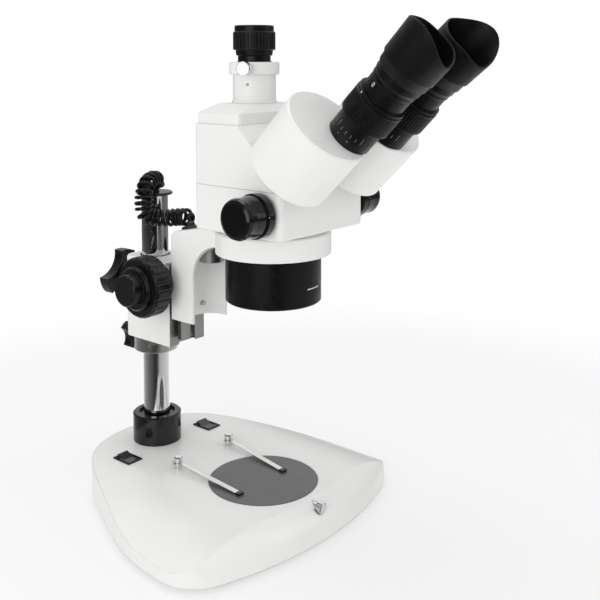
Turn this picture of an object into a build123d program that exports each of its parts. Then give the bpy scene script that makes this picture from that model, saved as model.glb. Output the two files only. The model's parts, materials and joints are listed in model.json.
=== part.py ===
from build123d import *
import os
from math import cos, pi, radians, sin

# Trinocular zoom stereo microscope on a pillar stand with a lit base.
# Millimetres, +Z up. The origin is on the bench, under the centre of the stage plate,
# and the operator sits on the -Y side.

# ---- stand ----
FOOT_H = 4.0
BASE_TOP = 32.0
BASE_SKIN = 6.0
BASE_WALL = 7.0
FRONT_Y = -72.0
FRONT_HALF = 105.0
FRONT_RISE = 18.8
CROWN_FLAT = 58.0
CROWN_R = 157.0
BASE_HALF = 133.0
BASE_MID_Y = 53.0
BASE_MID_REACH = 125.0
BASE_SIDE = [
    (131.0, -12.0),
    (126.5, 27.0),
    (112.5, 67.0),
    (94.0, 107.0),
    (71.0, 148.0),
    (38.0, 172.0),
    (0, 178.0),
]
PLATE_R = 47.5
PLATE_T = 3.3
PILLAR_Y = 139.0
PILLAR_R = 12.5
PILLAR_TOP = 269.5
COLLAR_TOP = 59.0
RUN = 0.05
POST_XY = [(-32.0, 74.0), (32.0, 74.0)]
CLIP_TIP_XY = [(-34.0, -4.0), (21.5, -7.0)]
CLIP_Z = 36.4
CLIP_T = 0.8
SWITCH_XY = [(-50.0, 122.5), (50.0, 122.5)]
SWITCH_PIVOT_Z = 31.0
SCREW_XY = [(-112.0, -24.0), (112.0, -24.0), (-100.0, 66.0), (100.0, 66.0), (-52.0, 146.0), (52.0, 146.0)]
FOOT_XY = [(-98.0, -28.0), (98.0, -28.0), (-48.0, 128.0), (48.0, 128.0)]

# ---- focus mount ----
ARM_HALF = 21.5
BLOCK_FRONT = 95.5
BLOCK_REAR = 161.0
BLOCK_Z = (135.0, 212.0)
LINER_R = 14.5
FOCUS_Y = 104.7
FOCUS_Z = 194.0
TOOTH_PITCH_R = 4.8
TOOTH_COUNT = 12
TOOTH_PITCH = 2 * pi * TOOTH_PITCH_R / TOOTH_COUNT
ARM_REAR = 92.5
ARM_FRONT = 64.5
ARM_BOTTOM = 162.0
CLAMP_Z = 186.0
SAFETY_Z = (121.0, 134.6)

# ---- head ----
RING_Y = -12.1
RING_R = 49.0
RING_Z = (235.5, 254.0)
SPIGOT_R = 41.95
BARREL_R = 40.65
BARREL_BOTTOM = 194.6
HEAD_HALF = 53.4
HEAD_Y = (-66.7, 28.0)
HEAD_Z = (258.0, 295.4, 345.3)
SLOPE_Y = -21.8
PHOTO_Y = 9.0
ZOOM_Y = -48.1
ZOOM_Z = 277.5

# ---- binocular tubes, leaning 45 degrees towards the operator ----
TUBE_X = 36.4
TUBE_END = (-100.0, 349.0)
TUBE_R = 35.5
TUBE_LEN = 55.7
EYE_IN = 13.25
EYE_DOWN = 13.4

os.makedirs("parts", exist_ok=True)


def save(block, label):
    """Names the finished sub-part and writes its STEP file."""
    block.part.label = label
    export_step(block.part, f"parts/{label}.step")


def turned(outline, plane):
    """Revolves a closed (radius, height) outline about the plane's normal, in the open part."""
    side = Plane(origin=plane.origin, x_dir=plane.x_dir, z_dir=-plane.y_dir)
    with BuildSketch(side) as section:
        with BuildLine():
            Polyline(*outline, close=True)
        make_face()
    revolve(section.sketch, axis=Axis(plane.origin, plane.z_dir))


def ring_outline(inner, outer, low, high, bevel):
    """Section of a plain ring with its outer edges bevelled."""
    return [
        (inner, low),
        (outer - bevel, low),
        (outer, low + bevel),
        (outer, high - bevel),
        (outer - bevel, high),
        (inner, high),
    ]


def flutes(plane, radius, count, cutter, low, high):
    """Cuts round grooves into a turned part, parallel to its axis."""
    with BuildSketch(plane.offset(low)) as grooves:
        with PolarLocations(radius, count):
            Circle(cutter)
    extrude(grooves.sketch, amount=high - low, mode=Mode.SUBTRACT)


def lobed_knob(plane, radius, thick, turn, bevel):
    """Three-lobed clamping knob with hollow sides, standing on the plane."""
    with BuildSketch(plane) as star:
        Circle(radius)
        with PolarLocations(radius * 1.42, 3, start_angle=turn + 60):
            Circle(radius * 0.92, mode=Mode.SUBTRACT)
    lobes = extrude(star.sketch, amount=thick)
    chamfer(lobes.edges().group_by(Axis(plane.origin, plane.z_dir))[-1], bevel)


def side_plane(x, y, z, sign):
    """Plane whose normal points out along X from (x, y, z)."""
    return Plane(origin=(x, y, z), x_dir=(0, 1, 0), z_dir=(sign, 0, 0))


def back_plane(y, z):
    """Plane on the centre line whose normal points to the back."""
    return Plane(origin=(0, y, z), x_dir=(1, 0, 0), z_dir=(0, 1, 0))


def upright(x, y):
    """Plane on the bench with its origin at (x, y)."""
    return Plane(origin=(x, y, 0))


def shrunk(point, inset):
    """Point of the base outline moved inwards, by inset at the widest places."""
    x, y = point
    return (x * (1 - inset / BASE_SIDE[0][0]), BASE_MID_Y + (y - BASE_MID_Y) * (1 - inset / BASE_MID_REACH))


def base_form(inset, drop):
    """Crowned body of the base, shrunk by inset at the sides and by drop on top."""
    reach = (FRONT_HALF**2 + FRONT_RISE**2) / (2 * FRONT_RISE)
    centre_y = FRONT_Y + reach
    top = BASE_TOP - drop
    edge = BASE_HALF + 1
    edge_z = top - CROWN_R + (CROWN_R**2 - (edge - CROWN_FLAT) ** 2) ** 0.5
    middle = (edge + CROWN_FLAT) / 2
    middle_z = top - CROWN_R + (CROWN_R**2 - (middle - CROWN_FLAT) ** 2) ** 0.5
    front = Plane(origin=(0, centre_y, 0), x_dir=(0, -1, 0), z_dir=(-1, 0, 0))
    lip = reach - inset
    half_y = centre_y - (reach**2 - (FRONT_HALF / 2) ** 2) ** 0.5
    front_points = [(0, FRONT_Y), (FRONT_HALF / 2, half_y), (FRONT_HALF, FRONT_Y + FRONT_RISE)]
    shrunk_front = [shrunk(point, inset) for point in front_points]
    shrunk_side = [shrunk(point, inset) for point in BASE_SIDE]
    with BuildPart() as form:
        with BuildSketch(Plane.XY.offset(FOOT_H)):
            with BuildLine():
                arc = ThreePointArc(*shrunk_front)
                corner = TangentArc(shrunk_front[-1], shrunk_side[0], tangent=arc % 1)
                Spline(*shrunk_side, tangents=[corner % 1, (-1, 0)], tangent_scalars=[1, 1])
                mirror(about=Plane.YZ)
            make_face()
        extrude(amount=BASE_TOP)
        with BuildSketch(Plane.XZ):
            with BuildLine():
                Polyline((0, top), (0, 0), (edge, 0), (edge, edge_z))
                ThreePointArc((edge, edge_z), (middle, middle_z), (CROWN_FLAT, top))
                Line((CROWN_FLAT, top), (0, top))
            make_face()
            mirror(about=Plane.YZ)
        extrude(amount=200, both=True, mode=Mode.INTERSECT)
        with BuildSketch(front):
            with BuildLine():
                bend = (lip - 3, 15 - drop)
                shoulder = (lip - 19, top)
                ThreePointArc(bend, (lip - 9.3, 25.5 - drop), shoulder)
                Polyline(shoulder, (lip - 19, 40), (lip + 9, 40), (lip + 9, 0), (lip + 1, 0), bend)
            make_face()
        revolve(axis=Axis((0, centre_y, 0), (0, 0, 1)), mode=Mode.SUBTRACT)
    return form.part


outer_form = base_form(0, 0)
inner_form = base_form(BASE_WALL, BASE_SKIN)

with BuildPart() as base_shell:
    add(outer_form)
    add(inner_form, mode=Mode.SUBTRACT)

lock_dir = (0, -cos(radians(5)), -sin(radians(5)))
lock_plane = Plane(origin=(0, -60.0, 28.0), x_dir=(1, 0, 0), z_dir=lock_dir)

with BuildPart() as base_casting:
    with BuildSketch(Plane.XY.offset(7)):
        Circle(PLATE_R + 3)
        with Locations((0, PILLAR_Y)):
            Circle(24)
        with Locations(*SCREW_XY):
            Circle(5)
    extrude(amount=BASE_TOP)
    add(outer_form, mode=Mode.INTERSECT)
    add(base_shell.part)
    with BuildSketch(Plane.XY.offset(FOOT_H)):
        Circle(PLATE_R - 4)
    extrude(amount=BASE_TOP, mode=Mode.SUBTRACT)
    with BuildSketch(Plane.XY.offset(BASE_TOP - 3)):
        Circle(PLATE_R + RUN)
    extrude(amount=10, mode=Mode.SUBTRACT)
    with BuildSketch(Plane.XY.offset(13)):
        with Locations((0, PILLAR_Y)):
            Circle(PILLAR_R + RUN)
    extrude(amount=BASE_TOP, mode=Mode.SUBTRACT)
    with BuildSketch(Plane.XY.offset(FOOT_H)):
        with Locations((0, PILLAR_Y)):
            Circle(6)
        with Locations(*SCREW_XY):
            Circle(1.6)
    extrude(amount=12, mode=Mode.SUBTRACT)
    with BuildSketch(Plane.XY.offset(BASE_TOP - 12)):
        with Locations(*SWITCH_XY):
            Rectangle(14.4, 20.4)
    extrude(amount=20, mode=Mode.SUBTRACT)
    with BuildSketch(lock_plane.offset(-14)):
        Circle(2.05)
    extrude(amount=20, mode=Mode.SUBTRACT)
    with BuildSketch(lock_plane.offset(0.8)):
        Circle(5.4)
    extrude(amount=16, mode=Mode.SUBTRACT)
    with BuildSketch(back_plane(165, 17)):
        Circle(5.6)
    extrude(amount=20, mode=Mode.SUBTRACT)
save(base_casting, "base_casting")

with BuildPart() as bottom_cover:
    add(base_form(BASE_WALL + 0.1, BASE_SKIN))
    with BuildSketch(Plane.XY.offset(FOOT_H)):
        Rectangle(400, 500)
    extrude(amount=1.5, mode=Mode.INTERSECT)
    with BuildSketch(Plane.XY.offset(FOOT_H)):
        with Locations(*SCREW_XY):
            Circle(3.2)
    extrude(amount=1.5, mode=Mode.SUBTRACT)
    with BuildSketch(Plane.XY.offset(FOOT_H + 1.5)):
        with GridLocations(60, 44, 2, 2):
            with Locations((0, 83)):
                Circle(3)
    extrude(amount=3.5)
save(bottom_cover, "bottom_cover")

with BuildPart() as cover_screws:
    for x, y in SCREW_XY:
        turned([(0, 4.1), (3.0, 4.1), (3.0, 5.6), (1.5, 7.0), (1.5, 15.0), (0, 15.0)], upright(x, y))
save(cover_screws, "cover_screws")

with BuildPart() as rubber_feet:
    for x, y in FOOT_XY:
        turned([(0, 0), (8.0, 0), (9.5, FOOT_H), (0, FOOT_H)], upright(x, y))
save(rubber_feet, "rubber_feet")

with BuildPart() as stage_plate:
    turned(ring_outline(0, PLATE_R, BASE_TOP - 3, BASE_TOP - 3 + PLATE_T, 0.4), Plane.XY)
save(stage_plate, "stage_plate")

with BuildPart() as led_board:
    with BuildSketch(Plane.XY.offset(11)):
        Circle(PLATE_R - 5)
    extrude(amount=1.6)
    with BuildSketch(Plane.XY.offset(12.6)):
        Circle(4)
        with PolarLocations(20, 8):
            Circle(2.5)
    extrude(amount=2.2)
save(led_board, "led_board")

with BuildPart() as driver_board:
    with BuildSketch(Plane.XY.offset(FOOT_H + 5)):
        with Locations((0, 83)):
            Rectangle(72, 54)
    extrude(amount=1.6)
    with BuildSketch(Plane.XY.offset(FOOT_H + 6.6)):
        with Locations((-20, 90), (18, 95)):
            Rectangle(16, 20)
        with Locations((8, 72), (22, 72), (-12, 68)):
            Circle(5)
    extrude(amount=10)
save(driver_board, "driver_board")

with BuildPart() as power_inlet:
    turned([(2.2, -9), (5.5, -9), (5.5, 0), (7.5, 0), (7.5, 2.4), (2.2, 2.4)], back_plane(178.1, 17))
save(power_inlet, "power_inlet")

with BuildPart() as switch_bezels:
    for x, y in SWITCH_XY:
        with BuildSketch(Plane.XY.offset(BASE_TOP)):
            with Locations((x, y)):
                Rectangle(16, 22)
        rim = extrude(amount=1.6)
        chamfer(rim.edges().group_by(Axis.Z)[-1], 0.6)
        with BuildSketch(Plane.XY.offset(BASE_TOP - 15)):
            with Locations((x, y)):
                Rectangle(14.2, 20.2)
        extrude(amount=15)
        with BuildSketch(Plane.XY.offset(BASE_TOP - 12)):
            with Locations((x, y)):
                Rectangle(12.2, 19.2)
        extrude(amount=15, mode=Mode.SUBTRACT)
        with BuildSketch(Plane.XY.offset(BASE_TOP - 21)):
            with Locations((x, y - 6), (x, y + 6)):
                Rectangle(4.8, 0.8)
        extrude(amount=6.5)
save(switch_bezels, "switch_bezels")


def rocker(x, y):
    """Rocker paddle lying in its off position, nine degrees back."""
    lean = (0, cos(radians(9)), sin(radians(9)))
    pivot = Plane(origin=(x - 5.8, y, SWITCH_PIVOT_Z), x_dir=lean, z_dir=(1, 0, 0))
    with BuildPart() as paddle:
        with BuildSketch(pivot):
            with BuildLine():
                Polyline((8.6, -1.0), (8.6, 3.6), (0, 1.7), (-8.6, 3.6), (-8.6, -1.0))
                ThreePointArc((-8.6, -1.0), (0, -8.6), (8.6, -1.0))
            make_face()
        extrude(amount=11.6)
    return paddle


for name, (x, y) in zip(("switch_rocker_left", "switch_rocker_right"), SWITCH_XY):
    save(rocker(x, y), name)

with BuildPart() as stage_lock_screw:
    turned(
        [(0, -12), (1.4, -12), (2.0, -11), (2.0, 1.0), (4.0, 1.0), (4.6, 1.6), (4.6, 6.6), (4.0, 7.2), (0, 7.2)],
        lock_plane,
    )
    flutes(lock_plane, 4.9, 20, 0.5, 0.9, 7.4)
save(stage_lock_screw, "stage_lock_screw")

with BuildPart() as pillar_collar:
    turned(
        [
            (PILLAR_R + RUN, BASE_TOP),
            (22.85, BASE_TOP),
            (22.85, COLLAR_TOP - 1.2),
            (21.6, COLLAR_TOP),
            (17.0, COLLAR_TOP),
            (16.4, COLLAR_TOP - 2.5),
            (PILLAR_R + RUN, COLLAR_TOP - 2.5),
        ],
        upright(0, PILLAR_Y),
    )
save(pillar_collar, "pillar_collar")

with BuildPart() as pillar:
    turned(ring_outline(9.5, PILLAR_R, 13, PILLAR_TOP, 0.5), upright(0, PILLAR_Y))
save(pillar, "pillar")

with BuildPart() as pillar_cap:
    turned(
        [
            (3.6, 260),
            (9.45, 260),
            (9.45, PILLAR_TOP),
            (16.4, PILLAR_TOP),
            (17.0, PILLAR_TOP + 0.6),
            (17.0, PILLAR_TOP + 1.8),
            (16.2, PILLAR_TOP + 2.6),
            (3.6, PILLAR_TOP + 2.6),
        ],
        upright(0, PILLAR_Y),
    )
save(pillar_cap, "pillar_cap")

with BuildPart() as clip_posts:
    for x, y in POST_XY:
        turned(
            [
                (0, BASE_TOP),
                (3.4, BASE_TOP),
                (3.4, CLIP_Z - 0.05),
                (1.9, CLIP_Z - 0.05),
                (1.9, CLIP_Z + CLIP_T + 0.1),
                (3.9, CLIP_Z + CLIP_T + 0.1),
                (3.9, 41.2),
                (3.0, 42.2),
                (0, 42.2),
            ],
            upright(x, y),
        )
save(clip_posts, "clip_posts")


def clip_plane(post, tip):
    """Upright plane through the post, its x running along the clip."""
    run = Vector(tip[0] - post[0], tip[1] - post[1], 0).normalized()
    return Plane(origin=(post[0], post[1], 0), x_dir=run, z_dir=Vector(run.Y, -run.X, 0))


def clip_strip(post, tip, start, width, grow, end):
    """Bent spring strip from start to the end of the clip, thickened by grow on each face."""
    along = clip_plane(post, tip)
    low = [(start, -3.35), (end, -3.35)]
    if start < 74:
        low = [(start, 0.35 - 0.05 * start), (74, -3.35), (end, -3.35)]
    lower = [(s, CLIP_Z + z - grow) for s, z in low]
    upper = [(s, CLIP_Z + z + CLIP_T + grow) for s, z in reversed(low)]
    with BuildPart() as strip:
        with BuildSketch(along):
            with BuildLine():
                Polyline(*lower, *upper, close=True)
            make_face()
        extrude(amount=width / 2, both=True)
    return strip.part


for side, post, tip in zip(("left", "right"), POST_XY, CLIP_TIP_XY):
    blade = clip_strip(post, tip, 4.0, 5.2, 0, 79.4)
    sleeve = clip_strip(post, tip, 75.5, 5.8, 0.4, 80.2)
    with BuildPart() as stage_clip:
        add(blade)
        with BuildSketch(Plane.XY.offset(CLIP_Z)):
            with Locations(post):
                Circle(5.6)
        extrude(amount=CLIP_T)
        with BuildSketch(Plane.XY.offset(CLIP_Z - 1)):
            with Locations(post):
                Circle(1.95)
        extrude(amount=CLIP_T + 3, mode=Mode.SUBTRACT)
    save(stage_clip, f"stage_clip_{side}")
    with BuildPart() as clip_tip:
        add(sleeve)
        add(blade, mode=Mode.SUBTRACT)
    save(clip_tip, f"clip_tip_{side}")

# ---- safety collar and carrier ----

safety_mid = (SAFETY_Z[0] + SAFETY_Z[1]) / 2

with BuildPart() as safety_collar:
    turned(ring_outline(PILLAR_R + RUN, 20.8, SAFETY_Z[0], SAFETY_Z[1], 0.8), upright(0, PILLAR_Y))
    with BuildSketch(back_plane(PILLAR_Y + 10, safety_mid)):
        Circle(3.05)
    extrude(amount=14, mode=Mode.SUBTRACT)
save(safety_collar, "safety_collar")

with BuildPart() as safety_knob:
    lobed_knob(back_plane(168, safety_mid), 13.5, 11, 110, 1.2)
    stud_plane = back_plane(PILLAR_Y + 12.9, safety_mid)
    turned([(0, 0), (3.0, 0), (3.0, 9), (5.5, 9), (5.5, 17), (0, 17)], stud_plane)
save(safety_knob, "safety_knob")

with BuildPart() as carrier_liner:
    turned(ring_outline(PILLAR_R + RUN, LINER_R, 137, 210, 0.4), upright(0, PILLAR_Y))
save(carrier_liner, "carrier_liner")

# ---- focus block ----

with BuildPart() as focus_block:
    with BuildSketch(Plane.XY.offset(BLOCK_Z[0])):
        with BuildLine():
            Polyline((-ARM_HALF, 151), (-ARM_HALF, BLOCK_FRONT), (ARM_HALF, BLOCK_FRONT), (ARM_HALF, 151))
            TangentArc((ARM_HALF, 151), (ARM_HALF - 10, BLOCK_REAR), tangent=(0, 1))
            Line((ARM_HALF - 10, BLOCK_REAR), (10 - ARM_HALF, BLOCK_REAR))
            TangentArc((-ARM_HALF, 151), (10 - ARM_HALF, BLOCK_REAR), tangent=(0, 1))
        make_face()
    body = extrude(amount=BLOCK_Z[1] - BLOCK_Z[0])
    chamfer(body.edges().group_by(Axis.Z)[-1], 1.5)
    with BuildSketch(Plane.XY.offset(BLOCK_Z[0])):
        with Locations((0, PILLAR_Y)):
            Circle(LINER_R + RUN)
        gap = 0.04
        with BuildLine():
            Polyline(
                (-10 - gap, BLOCK_FRONT - 1),
                (10 + gap, BLOCK_FRONT - 1),
                (10 + gap, BLOCK_FRONT),
                (13 + gap, 100.5 + gap),
                (-13 - gap, 100.5 + gap),
                (-10 - gap, BLOCK_FRONT),
                close=True,
            )
        make_face()
    extrude(amount=BLOCK_Z[1], mode=Mode.SUBTRACT)
    with BuildSketch(side_plane(-30, FOCUS_Y, FOCUS_Z, 1)):
        Circle(6.0)
    extrude(amount=60, mode=Mode.SUBTRACT)
    for sign in (-1, 1):
        with BuildSketch(side_plane(sign * 14, FOCUS_Y, FOCUS_Z, sign)):
            Circle(8.0)
        extrude(amount=20, mode=Mode.SUBTRACT)
    with BuildSketch(back_plane(PILLAR_Y, CLAMP_Z)):
        Circle(5.05)
    extrude(amount=40, mode=Mode.SUBTRACT)
save(focus_block, "focus_block")

with BuildPart() as shaft_bushings:
    for sign in (-1, 1):
        turned(
            [(4.03, 0.1), (7.98, 0.1), (7.98, 7.5), (11.0, 7.5), (11.0, 9.0), (4.03, 9.0)],
            side_plane(sign * 14, FOCUS_Y, FOCUS_Z, sign),
        )
save(shaft_bushings, "shaft_bushings")

with BuildPart() as block_clamp_knob:
    lobed_knob(back_plane(182, CLAMP_Z), 24, 13, 37, 1.5)
    turned(
        [(0, 0), (3.5, 0), (5.0, 2), (5.0, 12), (8.0, 14), (8.0, 30), (0, 30)],
        back_plane(PILLAR_Y + 14.8, CLAMP_Z),
    )
save(block_clamp_knob, "block_clamp_knob")


def pinion_teeth(plane, width):
    """Toothed wheel centred on the plane, one tooth along the plane's x."""
    with BuildSketch(plane.offset(-width / 2)) as wheel:
        Circle(3.8)
        with PolarLocations(0, TOOTH_COUNT):
            Polygon((3.0, -0.85), (5.4, -0.32), (5.4, 0.32), (3.0, 0.85), align=None)
    extrude(wheel.sketch, amount=width)


def rack_gaps(plane, first, count, root, tip):
    """Trapezoid gaps of a rack whose teeth grow along the plane's x, as sketch faces."""
    with BuildSketch(plane) as gaps:
        with Locations(*[(0, k * TOOTH_PITCH) for k in range(first, first + count)]):
            Polygon((root, -0.5), (tip, -0.98), (tip, 0.98), (root, 0.5), align=None)
    extrude(gaps.sketch, amount=4.4, both=True, mode=Mode.SUBTRACT)


with BuildPart() as pinion_shaft:
    teeth_plane = Plane(origin=(0, FOCUS_Y, FOCUS_Z), x_dir=(0, -1, 0), z_dir=(-1, 0, 0))
    pinion_teeth(teeth_plane, 8)
    turned([(0, -63), (4.0, -63), (4.0, 63), (0, 63)], teeth_plane)
save(pinion_shaft, "pinion_shaft")

with BuildPart() as focus_knobs:
    for sign in (-1, 1):
        at = side_plane(sign * ARM_HALF, FOCUS_Y, FOCUS_Z, sign)
        turned(
            [
                (4.05, 2.2),
                (17.0, 2.2),
                (18.0, 3.2),
                (18.0, 11.5),
                (26.6, 12.5),
                (27.4, 13.3),
                (27.4, 27.5),
                (25.6, 29.5),
                (4.05, 29.5),
            ],
            at,
        )
        flutes(at, 28.6, 22, 2.1, 12, 30)
save(focus_knobs, "focus_knobs")

with BuildPart() as focus_hubs:
    for sign in (-1, 1):
        turned(
            [
                (4.05, 29.5),
                (20.0, 29.5),
                (20.0, 32.5),
                (18.2, 34.5),
                (14.4, 34.5),
                (14.2, 43.2),
                (13.2, 44.3),
                (0, 44.3),
                (0, 41.8),
                (4.05, 41.8),
            ],
            side_plane(sign * ARM_HALF, FOCUS_Y, FOCUS_Z, sign),
        )
save(focus_hubs, "focus_hubs")

# ---- arm and slide ----

BAR_Z = (141.5, 236.0)

with BuildPart() as slide_bar:
    with BuildSketch(Plane.XY.offset(BAR_Z[0])):
        with BuildLine():
            Polyline(
                (-13.8, 88.72),
                (-3.2, 88.72),
                (-3.2, 91.6),
                (3.2, 91.6),
                (3.2, 88.72),
                (13.8, 88.72),
                (13.8, 92.9),
                (10, 92.9),
                (10, BLOCK_FRONT),
                (13, 100.5),
                (-13, 100.5),
                (-10, BLOCK_FRONT),
                (-10, 92.9),
                (-13.8, 92.9),
                close=True,
            )
        make_face()
    extrude(amount=BAR_Z[1] - BAR_Z[0])
    rack_plane = Plane(origin=(0, FOCUS_Y - TOOTH_PITCH_R, FOCUS_Z), x_dir=(0, 1, 0), z_dir=(1, 0, 0))
    rack_gaps(rack_plane, -13, 25, -1.0, 0.7)
save(slide_bar, "slide_bar")

ARM_SCREW_XZ = [(-8.5, 172.0), (8.5, 172.0), (-8.5, 226.0), (8.5, 226.0)]
lock_line = Plane(origin=(0, RING_Y, 245.5), x_dir=(0, 0, 1), z_dir=(cos(radians(30)), sin(radians(30)), 0))

with BuildPart() as arm:
    with BuildSketch(Plane.YZ):
        with BuildLine():
            Polyline(
                (33, RING_Z[0]),
                (20, RING_Z[0]),
                (20, 251),
                (46, 251),
                (ARM_REAR - 4, 243),
                (ARM_REAR, 239),
                (ARM_REAR, ARM_BOTTOM),
                (ARM_FRONT, ARM_BOTTOM),
                (ARM_FRONT, 204),
            )
            TangentArc((ARM_FRONT, 204), (33, RING_Z[0]), tangent=(0, 1))
        make_face()
    body = extrude(amount=ARM_HALF, both=True)
    with BuildSketch(Plane.XY.offset(RING_Z[0])):
        with Locations((0, RING_Y)):
            Circle(RING_R)
    extrude(amount=RING_Z[1] - RING_Z[0])
    rims = arm.edges().filter_by(GeomType.CIRCLE).filter_by(lambda e: abs(e.radius - RING_R) < 0.01)
    chamfer(rims.group_by(Axis.Z)[-1], 1.0)
    with BuildSketch(Plane.XY.offset(RING_Z[0])):
        with Locations((0, RING_Y)):
            Circle(SPIGOT_R + RUN)
    extrude(amount=30, mode=Mode.SUBTRACT)
    with BuildSketch(Plane.XY.offset(ARM_BOTTOM - 1)):
        with Locations((0, 66)):
            Circle(19.3)
    extrude(amount=71, mode=Mode.SUBTRACT)
    with BuildSketch(Plane.XY.offset(ARM_BOTTOM - 1)):
        with Locations((0, ARM_REAR)):
            Rectangle(27.66, 7.6)
    extrude(amount=BAR_Z[1] - ARM_BOTTOM + 1.1, mode=Mode.SUBTRACT)
    with BuildSketch(lock_line.offset(30)):
        Circle(2.05)
    extrude(amount=30, mode=Mode.SUBTRACT)
    with BuildSketch(back_plane(80, 0)):
        with Locations(*[(x, -z) for x, z in ARM_SCREW_XZ]):
            Circle(2.1)
    extrude(amount=10, mode=Mode.SUBTRACT)
save(arm, "arm")

with BuildPart() as arm_screws:
    for x, z in ARM_SCREW_XZ:
        at = Plane(origin=(x, 81.4, z), x_dir=(1, 0, 0), z_dir=(0, 1, 0))
        turned([(0, 0), (2.0, 0), (2.0, 7.3), (0, 7.3)], at)
save(arm_screws, "arm_screws")

with BuildPart() as incident_lamp:
    turned([(0, 218), (9.0, 218), (9.0, 216.5), (11.5, 216.5), (11.5, 231.9), (0, 231.9)], upright(0, 62))
save(incident_lamp, "incident_lamp")

plug_plane = Plane(origin=(-5, 84, 243.95), x_dir=(1, 0, 0), z_dir=(0, 8, 42.5))

with BuildPart() as cord_plug:
    turned([(0, 0), (8.2, 0), (8.2, 1.2), (7.4, 2.0), (4.6, 2.6), (4.2, 5.0), (2.6, 6.5), (0, 6.5)], plug_plane)
save(cord_plug, "cord_plug")

with BuildPart() as head_lock_screw:
    turned(
        [(0, 42.2), (2.0, 42.2), (2.0, 50), (6.0, 50), (7.0, 51), (7.0, 60), (6.0, 61), (0, 61)],
        lock_line,
    )
    flutes(lock_line, 7.7, 20, 0.9, 49.5, 61.5)
save(head_lock_screw, "head_lock_screw")

# ---- head ----


def tube_plane(sign):
    """Plane at the end of one prism housing, its normal running up the tube."""
    return Plane(origin=(sign * TUBE_X, TUBE_END[0], TUBE_END[1]), x_dir=(1, 0, 0), z_dir=(0, -1, 1))


def eye_plane(sign):
    """Plane at the foot of one eyepiece, off centre on the prism housing."""
    at = tube_plane(sign)
    return Plane(origin=at.from_local_coords((-sign * EYE_IN, -EYE_DOWN, 0)), x_dir=at.x_dir, z_dir=at.z_dir)


with BuildPart() as head_lower:
    with BuildSketch(Plane.XY.offset(HEAD_Z[0])):
        with Locations((0, (HEAD_Y[0] + HEAD_Y[1]) / 2)):
            RectangleRounded(2 * HEAD_HALF, HEAD_Y[1] - HEAD_Y[0], 5)
    shell = extrude(amount=HEAD_Z[1] - HEAD_Z[0])
    fillet(shell.edges().group_by(Axis.Z)[0], 1.5)
    with BuildSketch(Plane.XY.offset(HEAD_Z[0] + 4)):
        with Locations((0, (HEAD_Y[0] + HEAD_Y[1]) / 2)):
            RectangleRounded(2 * HEAD_HALF - 7, HEAD_Y[1] - HEAD_Y[0] - 7, 3)
    extrude(amount=60, mode=Mode.SUBTRACT)
    spigot_top = RING_Z[1] + 0.1
    turned(
        [
            (37.0, 236.4),
            (SPIGOT_R, 236.4),
            (SPIGOT_R, spigot_top),
            (45.5, spigot_top),
            (45.5, 258.5),
            (37.0, 258.5),
        ],
        upright(0, RING_Y),
    )
    with BuildSketch(Plane.XY.offset(230)):
        with Locations((0, RING_Y)):
            Circle(37)
    extrude(amount=34, mode=Mode.SUBTRACT)
    with BuildSketch(side_plane(-60, ZOOM_Y, ZOOM_Z, 1)):
        Circle(3.55)
    extrude(amount=120, mode=Mode.SUBTRACT)
    with BuildSketch(Plane.XY.offset(HEAD_Z[0] + 2)):
        with Locations((-44, -5), (44, -5)):
            Circle(3)
    extrude(amount=34)
save(head_lower, "head_lower")

with BuildPart() as head_upper:
    with BuildSketch(Plane.YZ):
        with BuildLine():
            Polyline(
                (HEAD_Y[1], HEAD_Z[1] + 0.2),
                (HEAD_Y[1], HEAD_Z[2]),
                (SLOPE_Y, HEAD_Z[2]),
                (HEAD_Y[0], HEAD_Z[2] + HEAD_Y[0] - SLOPE_Y),
                (HEAD_Y[0], HEAD_Z[1] + 0.2),
                close=True,
            )
        make_face()
    shell = extrude(amount=HEAD_HALF, both=True)
    fillet(shell.edges().filter_by(Axis.Z), 5)
    with BuildSketch(Plane.YZ):
        with BuildLine():
            Polyline((24, 295), (24, 341.3), (-15.9, 341.3), (-62.2, 295), close=True)
        make_face()
    extrude(amount=HEAD_HALF - 4, both=True, mode=Mode.SUBTRACT)
    for sign in (-1, 1):
        with BuildSketch(tube_plane(sign).offset(-75)):
            Circle(11.55)
        extrude(amount=30, mode=Mode.SUBTRACT)
    with BuildSketch(Plane.XY.offset(335)):
        with Locations((0, PHOTO_Y)):
            Circle(12)
    extrude(amount=20, mode=Mode.SUBTRACT)
save(head_upper, "head_upper")

with BuildPart() as head_cap:
    with BuildSketch(Plane.XY.offset(HEAD_Z[2])):
        with Locations((0, 2.5)):
            RectangleRounded(103, 47, 4)
    extrude(amount=9.2)
    with BuildSketch(Plane.XY.offset(HEAD_Z[2] + 9.2)):
        with Locations((0, 2.5)):
            RectangleRounded(103, 47, 4)
    with BuildSketch(Plane.XY.offset(360.5)):
        with Locations((0, PHOTO_Y)):
            RectangleRounded(50, 39, 4)
    loft()
    with BuildSketch(Plane.XY.offset(HEAD_Z[2])):
        with Locations((0, PHOTO_Y)):
            Circle(12)
    extrude(amount=20, mode=Mode.SUBTRACT)
save(head_cap, "head_cap")

photo_dir = (cos(radians(205)), sin(radians(205)), 0)
photo_line = Plane(origin=(0, PHOTO_Y, 389.7), x_dir=(0, 0, 1), z_dir=photo_dir)

with BuildPart() as photo_tube:
    turned(
        [
            (12.0, 360.5),
            (19.2, 360.5),
            (19.2, 362.5),
            (18.3, 363.2),
            (18.3, 393.0),
            (15.05, 393.0),
            (15.05, 364.5),
            (12.0, 364.5),
        ],
        upright(0, PHOTO_Y),
    )
    with BuildSketch(photo_line.offset(10)):
        Circle(2.05)
    extrude(amount=15, mode=Mode.SUBTRACT)
save(photo_tube, "photo_tube")

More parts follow.
